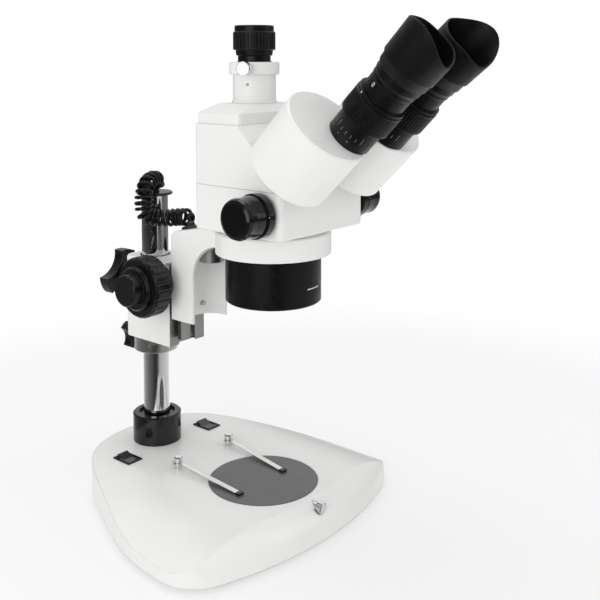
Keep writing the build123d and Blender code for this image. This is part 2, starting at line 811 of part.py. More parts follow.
with BuildPart() as photo_collar:
    turned(
        [
            (18.35, 384.6),
            (20.6, 384.6),
            (21.3, 385.3),
            (21.3, 394.5),
            (20.6, 395.2),
            (15.1, 395.2),
            (15.1, 393.1),
            (18.35, 393.1),
        ],
        upright(0, PHOTO_Y),
    )
    with BuildSketch(photo_line.offset(16)):
        Circle(2.05)
    extrude(amount=10, mode=Mode.SUBTRACT)
save(photo_collar, "photo_collar")

with BuildPart() as photo_screw:
    turned(
        [
            (0, 15.1),
            (2.0, 15.1),
            (2.0, 22.0),
            (3.6, 22.0),
            (3.6, 24.0),
            (5.2, 24.0),
            (6.0, 24.8),
            (6.0, 30.4),
            (5.2, 31.2),
            (0, 31.2),
        ],
        photo_line,
    )
    flutes(photo_line, 6.35, 24, 0.6, 23.5, 31.5)
save(photo_screw, "photo_screw")

with BuildPart() as photo_eyepiece:
    turned(
        [
            (0, 372.0),
            (15.0, 372.0),
            (15.0, 395.5),
            (13.9, 396.0),
            (13.9, 400.0),
            (15.4, 401.0),
            (16.0, 405.2),
            (17.5, 405.2),
            (18.0, 405.8),
            (18.0, 420.0),
            (17.2, 420.8),
            (16.7, 420.8),
            (16.7, 425.2),
            (15.9, 426.0),
            (0, 426.0),
        ],
        upright(0, PHOTO_Y),
    )
    flutes(upright(0, PHOTO_Y), 18.3, 40, 0.75, 406.5, 419.5)
save(photo_eyepiece, "photo_eyepiece")

with BuildPart() as objective_barrel:
    turned(
        [
            (24.0, BARREL_BOTTOM),
            (39.6, BARREL_BOTTOM),
            (BARREL_R, BARREL_BOTTOM + 1.0),
            (BARREL_R, 236.3),
            (33.0, 236.3),
            (33.0, 213.0),
            (27.0, 213.0),
            (27.0, 203.0),
            (24.0, 203.0),
        ],
        upright(0, RING_Y),
    )
save(objective_barrel, "objective_barrel")

with BuildPart() as objective_lens:
    turned([(0, 203.2), (14.0, 203.6), (26.9, 204.5), (26.9, 211.5), (0, 211.5)], upright(0, RING_Y))
save(objective_lens, "objective_lens")

# ---- zoom drive ----

zoom_wheel = Plane(origin=(0, ZOOM_Y, ZOOM_Z), x_dir=(0, 1, 0), z_dir=(1, 0, 0))

with BuildPart() as zoom_shaft:
    pinion_teeth(zoom_wheel, 8)
    turned([(0, -79), (3.5, -79), (3.5, 79), (0, 79)], zoom_wheel)
save(zoom_shaft, "zoom_shaft")

with BuildPart() as zoom_knobs:
    for sign in (-1, 1):
        at = side_plane(sign * HEAD_HALF, ZOOM_Y, ZOOM_Z, sign)
        turned(
            [
                (3.55, 0.4),
                (14.0, 0.4),
                (14.0, 3.4),
                (17.2, 3.4),
                (17.8, 4.0),
                (17.8, 10.2),
                (17.2, 10.8),
                (15.9, 11.0),
                (15.9, 12.4),
                (16.6, 13.0),
                (16.0, 22.0),
                (16.3, 27.4),
                (15.2, 30.0),
                (12.8, 31.0),
                (0, 31.0),
                (0, 26.0),
                (3.55, 26.0),
            ],
            at,
        )
save(zoom_knobs, "zoom_knobs")

with BuildPart() as zoom_carriage:
    with BuildSketch(Plane.XY.offset(275)):
        with Locations((0, -8)):
            Rectangle(98, 30)
        with Locations((-12, -8), (12, -8)):
            Circle(8.5, mode=Mode.SUBTRACT)
        with Locations((-44, -5), (44, -5)):
            Circle(3.05, mode=Mode.SUBTRACT)
    extrude(amount=5)
    with BuildSketch(Plane.XY.offset(270)):
        with Locations((-12, -8), (12, -8)):
            Circle(10)
            Circle(8.5, mode=Mode.SUBTRACT)
    extrude(amount=16)
    with BuildSketch(Plane.XY.offset(267)):
        with Locations((0, -33.35)):
            Rectangle(8, 20.9)
    extrude(amount=21)
    rack_face = Plane(origin=(0, ZOOM_Y + TOOTH_PITCH_R, ZOOM_Z), x_dir=(0, -1, 0), z_dir=(-1, 0, 0))
    rack_gaps(rack_face, -4, 9, -1.0, 0.7)
save(zoom_carriage, "zoom_carriage")

# ---- binocular tubes ----

for side, sign in (("left", -1), ("right", 1)):
    tube = tube_plane(sign)
    eye = eye_plane(sign)

    with BuildPart() as prism_housing:
        turned(
            [
                (8.0, -61.5),
                (11.5, -61.5),
                (11.5, -TUBE_LEN + 0.3),
                (TUBE_R - 1.5, -TUBE_LEN + 0.3),
                (TUBE_R - 0.6, -TUBE_LEN + 1.2),
                (TUBE_R, -1.4),
                (TUBE_R - 1.2, 0),
                (0, 0),
                (0, -3.5),
                (TUBE_R - 3.5, -3.5),
                (TUBE_R - 3.5, -TUBE_LEN + 4),
                (8.0, -TUBE_LEN + 4),
            ],
            tube,
        )
        with BuildSketch(eye.offset(-4)):
            Circle(13)
        extrude(amount=5, mode=Mode.SUBTRACT)
    save(prism_housing, f"prism_housing_{side}")

    with BuildPart() as prism:
        with BuildSketch(tube.offset(-TUBE_LEN + 4.1)):
            with Locations((-sign * 6.6, -6.7)):
                Rectangle(36, 24, rotation=sign * 45)
        block = extrude(amount=24)
        chamfer(block.edges().filter_by(Axis(tube.origin, tube.z_dir)), 2.0)
    save(prism, f"prism_{side}")

    with BuildPart() as eye_tube:
        turned(
            [
                (13.0, 0.02),
                (17.6, 0.02),
                (18.0, 0.6),
                (18.0, 19.4),
                (17.4, 20.0),
                (16.0, 20.0),
                (16.0, 39.0),
                (15.05, 39.0),
                (15.05, 3.0),
                (13.0, 3.0),
            ],
            eye,
        )
    save(eye_tube, f"eye_tube_{side}")

    with BuildPart() as diopter_ring:
        turned([(16.05, 20.1), (19.8, 20.1), (20.8, 21.1), (20.8, 40.4), (20.0, 41.3), (16.05, 41.3)], eye)
        flutes(eye, 21.15, 48, 0.8, 23.0, 39.0)
    save(diopter_ring, f"diopter_ring_{side}")

    with BuildPart() as eyepiece:
        turned(
            [
                (0, 12.0),
                (15.0, 12.0),
                (15.0, 41.6),
                (20.0, 41.6),
                (20.4, 42.0),
                (20.4, 43.4),
                (19.8, 44.0),
                (18.0, 44.0),
                (18.0, 56.0),
                (18.6, 57.0),
                (18.6, 60.0),
                (19.5, 62.5),
                (19.5, 84.0),
                (16.0, 84.0),
                (12.0, 80.0),
                (0, 80.0),
            ],
            eye,
        )
    save(eyepiece, f"eyepiece_{side}")

    low_ring = eye.offset(76)
    rim_origin = eye.from_local_coords((sign * 25, 0, 114))
    rim_normal = eye.from_local_coords((-sign * 0.28, -0.14, 1)) - eye.origin
    rim_plane = Plane(origin=rim_origin, x_dir=(0, 1, 1), z_dir=rim_normal)
    with BuildPart() as eyecup:
        turned([(19.55, 68.0), (20.8, 68.0), (21.6, 76.0), (19.55, 76.0)], eye)
        with BuildSketch(low_ring) as foot:
            with Locations((sign * 0.6, 0)):
                Circle(22.6)
        with BuildSketch(low_ring.offset(44)) as lip:
            with Locations((sign * 3.0, 0)):
                Circle(23.4)
        loft([foot.sketch, lip.sketch])
        with BuildSketch(low_ring) as bore_foot:
            Circle(19.55)
        with BuildSketch(low_ring.offset(8.1)) as bore_mid:
            Circle(19.55)
        loft([bore_foot.sketch, bore_mid.sketch], mode=Mode.SUBTRACT)
        with BuildSketch(low_ring.offset(8.1)) as funnel_foot:
            Circle(19.55)
        with BuildSketch(low_ring.offset(45)) as funnel_lip:
            with Locations((sign * 3.0, 0)):
                Circle(21.8)
        loft([funnel_foot.sketch, funnel_lip.sketch], mode=Mode.SUBTRACT)
        split(bisect_by=rim_plane, keep=Keep.BOTTOM)
    save(eyecup, f"eyecup_{side}")

# ---- coiled cord, as the soft tube that its coil fills ----

CORD_POINTS = [
    (0, PILLAR_Y - 1, 281),
    (-21.5, PILLAR_Y - 12, 280),
    (-23, PILLAR_Y - 12, 254),
    (-7, PILLAR_Y - 28.5, 251),
    (-2, PILLAR_Y - 43.5, 253.2),
]

with BuildPart() as coiled_cord:
    with BuildLine() as cord_line:
        FilletPolyline(*CORD_POINTS, radius=9.5)
    cord_wire = cord_line.wire()
    with BuildSketch(Plane(origin=cord_wire @ 0, z_dir=cord_wire % 0)):
        Circle(7.0)
    sweep(path=cord_wire)
save(coiled_cord, "coiled_cord")
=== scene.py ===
import bpy
import bmesh
import json
import math
from mathutils import Matrix, Vector

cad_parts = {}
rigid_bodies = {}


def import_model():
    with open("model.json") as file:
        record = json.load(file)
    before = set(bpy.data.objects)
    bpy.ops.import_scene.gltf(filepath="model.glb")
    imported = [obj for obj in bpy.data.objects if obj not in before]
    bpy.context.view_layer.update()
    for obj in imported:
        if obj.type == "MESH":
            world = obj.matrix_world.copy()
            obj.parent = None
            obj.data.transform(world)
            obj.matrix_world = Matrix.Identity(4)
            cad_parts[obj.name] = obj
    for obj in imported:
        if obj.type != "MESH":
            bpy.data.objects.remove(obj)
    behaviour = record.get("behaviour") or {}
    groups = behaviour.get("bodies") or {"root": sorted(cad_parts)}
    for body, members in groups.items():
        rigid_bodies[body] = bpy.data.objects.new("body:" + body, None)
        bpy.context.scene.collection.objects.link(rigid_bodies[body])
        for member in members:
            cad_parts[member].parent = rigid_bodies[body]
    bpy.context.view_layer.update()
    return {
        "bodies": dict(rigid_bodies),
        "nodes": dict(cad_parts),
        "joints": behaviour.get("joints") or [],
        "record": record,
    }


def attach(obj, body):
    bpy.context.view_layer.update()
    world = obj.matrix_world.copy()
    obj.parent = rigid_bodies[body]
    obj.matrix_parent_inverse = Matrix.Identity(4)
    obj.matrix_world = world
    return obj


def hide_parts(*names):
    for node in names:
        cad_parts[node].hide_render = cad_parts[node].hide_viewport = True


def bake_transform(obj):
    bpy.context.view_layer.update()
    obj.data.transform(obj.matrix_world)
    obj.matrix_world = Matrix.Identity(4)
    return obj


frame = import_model()
NODES = frame["nodes"]
MM = 0.001


# ---------------------------------------------------------------- materials

class Graph:
    """Small helper that adds and links shader nodes in one material."""

    def __init__(self, name):
        self.mat = bpy.data.materials.new(name)
        self.mat.use_nodes = True
        self.tree = self.mat.node_tree
        self.tree.nodes.clear()
        self.out = self.add("ShaderNodeOutputMaterial")
        self.bsdf = self.add("ShaderNodeBsdfPrincipled")
        self.link(self.bsdf.outputs["BSDF"], self.out.inputs["Surface"])
        self.coords = self.add("ShaderNodeTexCoord").outputs["Object"]

    def add(self, kind, **values):
        node = self.tree.nodes.new(kind)
        for key, value in values.items():
            setattr(node, key, value)
        return node

    def link(self, source, target):
        self.tree.links.new(source, target)

    def put(self, value, socket):
        """Links a socket, or sets a plain value."""
        if isinstance(value, bpy.types.NodeSocket):
            self.link(value, socket)
        else:
            socket.default_value = value

    def math(self, operation, a, b=0.0, clamp=False):
        node = self.add("ShaderNodeMath", operation=operation, use_clamp=clamp)
        self.put(a, node.inputs[0])
        self.put(b, node.inputs[1])
        return node.outputs[0]

    def noise(self, scale, detail=3.0, stretch=None, turn=(0, 0, 0)):
        """Noise in metres; stretch squeezes it along the axes after the turn."""
        node = self.add("ShaderNodeTexNoise")
        node.inputs["Scale"].default_value = scale
        node.inputs["Detail"].default_value = detail
        source = self.coords
        if stretch:
            turned = self.add("ShaderNodeMapping")
            turned.inputs["Rotation"].default_value = turn
            self.link(source, turned.inputs["Vector"])
            squeezed = self.add("ShaderNodeMapping")
            squeezed.inputs["Scale"].default_value = stretch
            self.link(turned.outputs[0], squeezed.inputs["Vector"])
            source = squeezed.outputs[0]
        self.link(source, node.inputs["Vector"])
        return node.outputs["Fac"]

    def ramp(self, value, low, high, to_low, to_high):
        node = self.add("ShaderNodeMapRange")
        self.put(value, node.inputs["Value"])
        node.inputs["From Min"].default_value = low
        node.inputs["From Max"].default_value = high
        self.put(to_low, node.inputs["To Min"])
        self.put(to_high, node.inputs["To Max"])
        return node.outputs[0]

    def mix(self, share, a, b):
        node = self.add("ShaderNodeMix", data_type="RGBA")
        self.put(share, node.inputs[0])
        self.put(a, node.inputs[6])
        self.put(b, node.inputs[7])
        return node.outputs[2]

    def rounded(self, radius):
        """Normal with edges rounded off at this radius, and a mask that is 1 on those edges."""
        soft = self.add("ShaderNodeBevel", samples=4)
        soft.inputs["Radius"].default_value = radius
        plain = self.add("ShaderNodeNewGeometry").outputs["Normal"]
        dot = self.add("ShaderNodeVectorMath", operation="DOT_PRODUCT")
        self.link(soft.outputs[0], dot.inputs[0])
        self.link(plain, dot.inputs[1])
        mask = self.ramp(dot.outputs["Value"], 0.995, 0.90, 0.0, 1.0)
        return soft.outputs[0], mask

    def bump(self, height, strength, depth, normal=None):
        node = self.add("ShaderNodeBump")
        node.inputs["Strength"].default_value = strength
        node.inputs["Distance"].default_value = depth
        self.link(height, node.inputs["Height"])
        if normal is not None:
            self.link(normal, node.inputs["Normal"])
        return node.outputs[0]


def rgba(color):
    """Colour with full cover."""
    return (color[0], color[1], color[2], 1.0)


def finish(name, color, rough, metal=0.0, grain=900.0, depth=0.02, tint=0.05, edge=0.4, edge_wear_and_shade=None,
           coat=0.0, spread=0.08, stretch=None, turn=(0, 0, 0), specular=0.5):
    """Material with colour variation, uneven gloss, fine relief, soft edges, and a colour on edges and
    creases: wear on the dark parts; on the white enamel, wear on outer edges and painted shade in the
    creases. Lengths in mm.
    """
    g = Graph(name)
    cloud = g.noise(28.0, 2.0)
    fine = g.noise(grain, 4.0, stretch, turn)
    smear = g.noise(150.0, 3.0)
    dark = [c * (1 - tint) for c in color]
    light = [min(1.0, c * (1 + tint)) for c in color]
    paint = g.mix(g.ramp(cloud, 0.35, 0.65, 0.0, 1.0), rgba(dark), rgba(light))
    paint = g.mix(g.ramp(fine, 0.3, 0.7, 0.0, 0.35), paint, rgba(dark))
    soft, mask = g.rounded(edge * MM)
    if edge_wear_and_shade:
        # Edge and crease colour: wear on the dark parts; on white enamel it darkens outer edges as wear and
        # creases as painted shade.
        patchy = g.math("MULTIPLY", mask, g.ramp(smear, 0.45, 0.65, 0.1, 1.0), clamp=True)
        paint = g.mix(g.math("MULTIPLY", patchy, edge_wear_and_shade[1]), paint, rgba(edge_wear_and_shade[0]))
    g.put(paint, g.bsdf.inputs["Base Color"])
    gloss = g.ramp(smear, 0.3, 0.7, max(0.02, rough - spread), rough + spread)
    g.put(gloss, g.bsdf.inputs["Roughness"])
    g.bsdf.inputs["Metallic"].default_value = metal
    g.bsdf.inputs["Specular IOR Level"].default_value = specular
    g.bsdf.inputs["Coat Weight"].default_value = coat
    g.bsdf.inputs["Coat Roughness"].default_value = 0.12
    g.put(g.bump(fine, 0.6, depth * MM, soft), g.bsdf.inputs["Normal"])
    return g


WHITE = (0.80, 0.80, 0.785)
WHITE_BASE = (0.83, 0.83, 0.815)
# Darker white for the enamel's edges and creases: wear on the outer edges, painted shade in the creases.
WORN_AND_SHADED_WHITE = (0.66, 0.66, 0.645)
TURN_45 = (math.radians(45), 0, 0)
# Painted shade for the dark inside behind the glass, and a painted purple coating reflection for grazing
# angles.
GLASS_PAINTED_SHADE = (0.015, 0.02, 0.03)
GLASS_PAINTED_REFLECTION = (0.10, 0.05, 0.14)
BLOCK_FRONT_Y = 0.1008
CHANNEL_HALF = 0.0214

# The enamel is darker along edges and in creases: wear on the outer edges, painted shade in the creases.
enamel = finish("enamel", WHITE, 0.36, grain=1100, depth=0.008, tint=0.012, edge=0.8,
                edge_wear_and_shade=(WORN_AND_SHADED_WHITE, 0.25), coat=0.15, spread=0.04).mat
enamel_base = finish("enamel_base", WHITE_BASE, 0.22, grain=900, depth=0.004, tint=0.010, edge=2.0,
                     spread=0.004).mat
barrel_black = finish("barrel_black", (0.004, 0.004, 0.0044), 0.34, grain=60, depth=0.02, tint=0.15,
                      stretch=(1, 1, 60), edge_wear_and_shade=((0.04, 0.04, 0.04), 0.6), specular=0.3).mat
eyepiece_black = finish("eyepiece_black", (0.004, 0.004, 0.0044), 0.36, grain=60, depth=0.02, tint=0.15,
                        stretch=(1, 1, 60), turn=TURN_45, edge_wear_and_shade=((0.05, 0.05, 0.05), 0.6), specular=0.3).mat
moulded = finish("moulded_black", (0.005, 0.005, 0.005), 0.30, grain=1600, depth=0.03, tint=0.2, edge=0.7,
                 edge_wear_and_shade=((0.12, 0.12, 0.118), 0.8), specular=0.42).mat
gloss_black = finish("gloss_black", (0.004, 0.004, 0.0045), 0.14, grain=500, depth=0.005, tint=0.1,
                     spread=0.04, edge_wear_and_shade=((0.05, 0.05, 0.05), 0.5), specular=0.5).mat
rubber = finish("soft_rubber", (0.004, 0.004, 0.004), 0.46, grain=2200, depth=0.05, tint=0.25, edge=0.6,
                edge_wear_and_shade=((0.05, 0.05, 0.05), 0.6), specular=0.3).mat
cord_rubber = finish("cord_rubber", (0.004, 0.004, 0.004), 0.3, grain=1800, depth=0.03, tint=0.2,
                     specular=0.35).mat
chrome = finish("chrome_plate", (0.78, 0.78, 0.79), 0.07, metal=1.0, grain=400, depth=0.004, tint=0.04,
                spread=0.03, edge=0.3).mat
steel = finish("bright_steel", (0.62, 0.61, 0.60), 0.28, metal=1.0, grain=50, depth=0.02, tint=0.08,
               stretch=(30, 1, 1)).mat
slide_steel = finish("slide_steel", (0.50, 0.50, 0.49), 0.33, metal=1.0, grain=50, depth=0.02, tint=0.10,
                     stretch=(40, 40, 1)).mat
clip_steel = finish("clip_steel", (0.74, 0.72, 0.70), 0.22, metal=1.0, grain=60, depth=0.01, tint=0.05,
                    stretch=(30, 1, 1)).mat
# The stage plate is darker along its edges and in creases.
plate = finish("plate_grey", (0.100, 0.093, 0.098), 0.32, grain=1500, depth=0.01, tint=0.05, spread=0.05,
               edge=0.5, edge_wear_and_shade=((0.02, 0.02, 0.02), 0.9)).mat
brass = finish("brass_bush", (0.66, 0.48, 0.22), 0.3, metal=1.0, grain=60, depth=0.02, stretch=(40, 1, 1)).mat
aluminium = finish("lamp_housing", (0.55, 0.55, 0.55), 0.36, metal=1.0, grain=60, depth=0.02,
                   stretch=(1, 1, 40)).mat
board = finish("board_green", (0.03, 0.11, 0.05), 0.4, grain=400, depth=0.03, tint=0.3).mat
cover = finish("cover_steel", (0.03, 0.03, 0.03), 0.55, grain=1200, depth=0.05, tint=0.2,
               edge_wear_and_shade=((0.15, 0.15, 0.15), 0.5)).mat
rocker_grey = finish("rocker_black", (0.016, 0.016, 0.017), 0.22, grain=900, depth=0.01, tint=0.1,
                     edge_wear_and_shade=((0.10, 0.10, 0.10), 0.6)).mat
mark_white = finish("mark_white", (0.75, 0.75, 0.73), 0.5, grain=2500, depth=0.01, tint=0.12).mat
mark_grey = finish("mark_grey", (0.22, 0.22, 0.215), 0.5, grain=2500, depth=0.01, tint=0.12).mat


def block_material():
    """Enamel, with bare machined metal on the front face where the slide runs."""
    # The enamel is darker along edges and in creases: wear on the outer edges, painted shade in the creases.
    g = finish("block_enamel", WHITE, 0.36, grain=1100, depth=0.008, tint=0.012, edge=0.8,
               edge_wear_and_shade=(WORN_AND_SHADED_WHITE, 0.25), coat=0.15, spread=0.04)
    where = g.add("ShaderNodeSeparateXYZ")
    g.link(g.coords, where.inputs[0])
    near_front = g.math("LESS_THAN", where.outputs["Y"], BLOCK_FRONT_Y)
    inside = g.math("LESS_THAN", g.math("ABSOLUTE", where.outputs["X"]), CHANNEL_HALF)
    bare = g.math("MULTIPLY", near_front, inside)
    metal = g.add("ShaderNodeBsdfPrincipled")
    metal.inputs["Metallic"].default_value = 1.0
    lines = g.noise(60, 4.0, (40, 1, 1))
    g.put(g.mix(lines, rgba((0.36, 0.36, 0.35)), rgba((0.52, 0.51, 0.50))), metal.inputs["Base Color"])
    g.put(g.ramp(lines, 0.3, 0.7, 0.28, 0.45), metal.inputs["Roughness"])
    g.put(g.bump(lines, 0.5, 0.02 * MM), metal.inputs["Normal"])
    both = g.add("ShaderNodeMixShader")
    g.link(bare, both.inputs[0])
    g.link(g.bsdf.outputs[0], both.inputs[1])
    g.link(metal.outputs[0], both.inputs[2])
    g.link(both.outputs[0], g.out.inputs["Surface"])
    return g.mat


def glass_material():
    """Coated glass drawn as an opaque surface: a clear coat over a base colour of painted shade for the dark
    inside behind the glass, turning towards a painted purple coating reflection at grazing angles.
    """
    g = Graph("lens_glass")
    smear = g.noise(220.0, 3.0)
    fresnel = g.add("ShaderNodeLayerWeight")
    fresnel.inputs["Blend"].default_value = 0.35
    # Painted shade and painted reflection: dark where the glass faces the view, purple at grazing angles.
    shade_and_reflection = g.mix(fresnel.outputs["Facing"], rgba(GLASS_PAINTED_SHADE), rgba(GLASS_PAINTED_REFLECTION))
    g.put(shade_and_reflection, g.bsdf.inputs["Base Color"])
    g.put(g.ramp(smear, 0.3, 0.7, 0.03, 0.08), g.bsdf.inputs["Roughness"])
    g.bsdf.inputs["Coat Weight"].default_value = 1.0
    g.bsdf.inputs["Coat Roughness"].default_value = 0.02
    g.put(g.bump(smear, 0.2, 0.002 * MM), g.bsdf.inputs["Normal"])
    return g.mat


lens_glass = glass_material()
block_paint = block_material()

LOOKS = {
    enamel: ["arm", "head_lower", "head_upper", "head_cap", "prism_housing_left", "prism_housing_right",
             "photo_tube", "photo_collar"],
    enamel_base: ["base_casting"],
    block_paint: ["focus_block"],
    plate: ["stage_plate"],
    gloss_black: ["pillar_collar", "switch_bezels", "zoom_knobs", "pillar_cap"],
    rocker_grey: ["switch_rocker_left", "switch_rocker_right"],
    barrel_black: ["objective_barrel", "photo_eyepiece"],
    eyepiece_black: ["eye_tube_left", "eye_tube_right", "eyepiece_left", "eyepiece_right",
                     "diopter_ring_left", "diopter_ring_right"],
    moulded: ["focus_knobs", "focus_hubs", "block_clamp_knob", "safety_knob", "carrier_liner",
              "power_inlet", "cord_plug", "clip_tip_left", "clip_tip_right"],
    rubber: ["eyecup_left", "eyecup_right", "rubber_feet", "coiled_cord"],
    chrome: ["pillar", "stage_lock_screw", "clip_posts", "head_lock_screw", "photo_screw"],
    clip_steel: ["stage_clip_left", "stage_clip_right"],
    slide_steel: ["slide_bar"],
    steel: ["pinion_shaft", "zoom_shaft", "arm_screws", "cover_screws", "zoom_carriage", "safety_collar"],
    brass: ["shaft_bushings"],
    aluminium: ["incident_lamp"],
    lens_glass: ["objective_lens", "prism_left", "prism_right"],
    board: ["led_board", "driver_board"],
    cover: ["bottom_cover"],
}

for look, names in LOOKS.items():
    for name in names:
        for slot in NODES[name].material_slots:
            slot.material = look


# ---------------------------------------------------------------- mesh helpers

MARK_SINK = 0.05
MARK_STAND = 0.07
MARK_STEP = 4.0


def piece(name, mesh, material, body=None):
    """Makes an object of the bmesh, with its finish, on its CAD body."""
    bmesh.ops.recalc_face_normals(mesh, faces=mesh.faces)
    data = bpy.data.meshes.new(name)
    mesh.to_mesh(data)
    mesh.free()
    for face in data.polygons:
        face.use_smooth = True
    data.materials.append(material)
    obj = bpy.data.objects.new(name, data)
    bpy.context.scene.collection.objects.link(obj)
    if body:
        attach(obj, body)
    return obj


def place(origin, axis, ref):
    """Matrix with z along axis and x towards ref, at origin in mm."""
    z = Vector(axis).normalized()
    x = Vector(ref)
    x = (x - z * x.dot(z)).normalized()
    y = z.cross(x)
    turn = Matrix((x, y, z)).transposed().to_4x4()
    return Matrix.Translation(Vector(origin) * MM) @ turn


def polar(radius, angle, height):
    """Point in metres from a radius and a height in mm and an angle in radians."""
    return Vector((radius * math.cos(angle), radius * math.sin(angle), height)) * MM


def full_turn(count):
    """Angles in radians that divide one turn evenly."""
    return [2 * math.pi * k / count for k in range(count)]


def join_loops(mesh, a, b):
    """Adds the faces between two closed loops with the same number of points."""
    for k in range(len(a)):
        n = (k + 1) % len(a)
        mesh.faces.new((a[k], a[n], b[n], b[k]))


def wrapped(mesh, at, radius, mid, half, low, high, sink=MARK_SINK, stand=MARK_STAND):
    """Adds one printed mark on a round wall: a thin curved plate. Angles in degrees, lengths in mm."""
    corners = [(radius - sink, low), (radius + stand, low), (radius + stand, high), (radius - sink, high)]
    steps = int(2 * half / MARK_STEP) + 2
    loops = []
    for k in range(steps + 1):
        angle = math.radians(mid - half + 2 * half * k / steps)
        loops.append([mesh.verts.new(at @ polar(r, angle, h)) for r, h in corners])
    for a, b in zip(loops, loops[1:]):
        join_loops(mesh, a, b)
    mesh.faces.new(loops[0])
    mesh.faces.new(list(reversed(loops[-1])))


def lathe(mesh, at, outline, segments=48):
    """Adds a turned form from (radius, height) pairs in mm; a pair on the axis makes a single point."""
    loops = []
    for r, h in outline:
        angles = full_turn(segments) if r > 0 else [0.0]
        loops.append([mesh.verts.new(at @ polar(r, angle, h)) for angle in angles])
    for a, b in zip(loops, loops[1:]):
        if len(a) > 1 and len(b) > 1:
            join_loops(mesh, a, b)
            continue
        for k in range(segments):
            n = (k + 1) % segments
            if len(a) == 1:
                mesh.faces.new((a[0], b[n], b[k]))
            else:
                mesh.faces.new((a[k], a[n], b[0]))


# ---------------------------------------------------------------- printed marks and small parts

EYE_X, EYE_Y, EYE_Z = 23.15, -109.475, 339.525
EYE_AXIS = (0, -1, 1)
EYE_TUBE_R = 18.0
SCALE_STEP, SCALE_MIDDLE = 15.0, -18.0
FIGURES_AT = (-3, -1, 1, 3)
EYEPIECE_R = 18.0
DIGIT_TURN = -14.0
DIOPTER_RING_R = 20.0
EYE_LENS = [(0, 80.02), (11.4, 80.02), (11.4, 80.6), (9.5, 81.4), (6.5, 82.2), (3.2, 82.6), (0, 82.75)]
LENS_RING = [(11.45, 80.02), (14.2, 80.9), (14.2, 82.0), (12.6, 82.3), (11.45, 81.2), (11.45, 80.02)]
ZOOM_KNOB_X, ZOOM_KNOB_Y, ZOOM_KNOB_Z = 58, -48.1, 277.5
ZOOM_KNOB_R = 17.5
BARREL_R = 40.65
BARREL_Y = -12.1
SET_SCREW = [(0, 17.9), (1.15, 17.9), (1.15, 18.38), (0.95, 18.5), (0.6, 18.5), (0.6, 18.1), (0, 18.1)]


def eye_frame(sign, ref):
    """Frame at the foot of one eyepiece, with z along its axis and x towards ref."""
    return place((sign * EYE_X, EYE_Y, EYE_Z), EYE_AXIS, ref)


def add_scale(side, eye):
    """Scale lines round the short eye tube, with a short bar in place of some figures."""
    mesh = bmesh.new()
    for k in range(-5, 6):
        turn = k * SCALE_STEP + SCALE_MIDDLE
        wrapped(mesh, eye, EYE_TUBE_R, turn, 0.7, 9.0, 15.0 if k % 5 == 0 else 12.2)
        if k in FIGURES_AT:
            wrapped(mesh, eye, EYE_TUBE_R, turn, 2.6, 5.4, 6.1)
    piece(f"diopter_scale_{side}", mesh, mark_grey, f"tube_{side}")


def add_eyepiece_mark(side, eye):
    """Index dot by the diopter ring, and a plain zero on the eyepiece."""
    mesh = bmesh.new()
    wrapped(mesh, eye, DIOPTER_RING_R, -20, 1.3, 41.95, 43.45, sink=0.3, stand=0.46)
    for low in (51.2, 54.2):
        wrapped(mesh, eye, EYEPIECE_R, DIGIT_TURN, 3.2, low, low + 0.6)
    for lean in (-2.3, 2.3):
        wrapped(mesh, eye, EYEPIECE_R, DIGIT_TURN + lean, 0.9, 51.2, 54.8)
    piece(f"eyepiece_mark_{side}", mesh, mark_white, f"ocular_{side}")


def add_eye_lens(side, eye):
    """Top lens of the eyepiece, in its retaining ring."""
    lens = bmesh.new()
    lathe(lens, eye, EYE_LENS)
    piece(f"eye_lens_{side}", lens, lens_glass, f"ocular_{side}")
    ring = bmesh.new()
    lathe(ring, eye, LENS_RING, 56)
    piece(f"lens_ring_{side}", ring, eyepiece_black, f"ocular_{side}")


def add_zoom_index(side, sign):
    """White line on one zoom knob."""
    knob = place((sign * ZOOM_KNOB_X, ZOOM_KNOB_Y, ZOOM_KNOB_Z), (sign, 0, 0), (0, -1, 0))
    mesh = bmesh.new()
    wrapped(mesh, knob, ZOOM_KNOB_R, -4 * sign, 1.5, 1.2, 6.3)
    piece(f"zoom_index_{side}", mesh, mark_white, "zoom_drive")


def add_barrel_line():
    """White line on the front of the objective barrel."""
    mesh = bmesh.new()
    wrapped(mesh, place((0, BARREL_Y, 0), (0, 0, 1), (1, 0, 0)), BARREL_R, -83, 11.5, 209.0, 210.0)
    piece("barrel_line", mesh, mark_white, "head")


def add_set_screw():
    """Socket screw in the side of the photo tube."""
    mesh = bmesh.new()
    lathe(mesh, place((0, 9, 376.4), (-0.91, -0.415, 0), (0, 0, 1)), SET_SCREW, 24)
    piece("photo_set_screw", mesh, moulded, "head")


for side, sign in (("left", -1), ("right", 1)):
    eye = eye_frame(sign, (-1, 0, 0))
    add_scale(side, eye)
    add_eyepiece_mark(side, eye)
    add_eye_lens(side, eye)
    add_zoom_index(side, sign)
add_barrel_line()
add_set_screw()


# ---------------------------------------------------------------- winged eyecups

CUP_SEGMENTS = 120
CUP_WALL = 1.7
CUP_BORE = 19.55
CUP_FOOT_Z = 68.0
CUP_SHOULDER_Z = 76.0
CUP_FUNNEL_Z = 84.0
CUP_FOLD = 0.4
CUP_LIP = 1.3
WALL_STEPS = 12
BEND_STEPS = 6
FUNNEL_STEPS = 9


def cup_rim(turn):
    """Outer radius and height of the saddle-shaped rim, by the angle from the outer side, in mm."""
    radius = 22.6 + 3.3 * math.cos(turn) - 1.2 * math.sin(turn)
    height = 104.9 + 4.7 * math.cos(turn) + 2.6 * math.sin(turn)
    height += 3.8 * math.cos(2 * turn) + 1.3 * math.cos(3 * turn) - 1.0 * math.sin(3 * turn)
    return radius, height


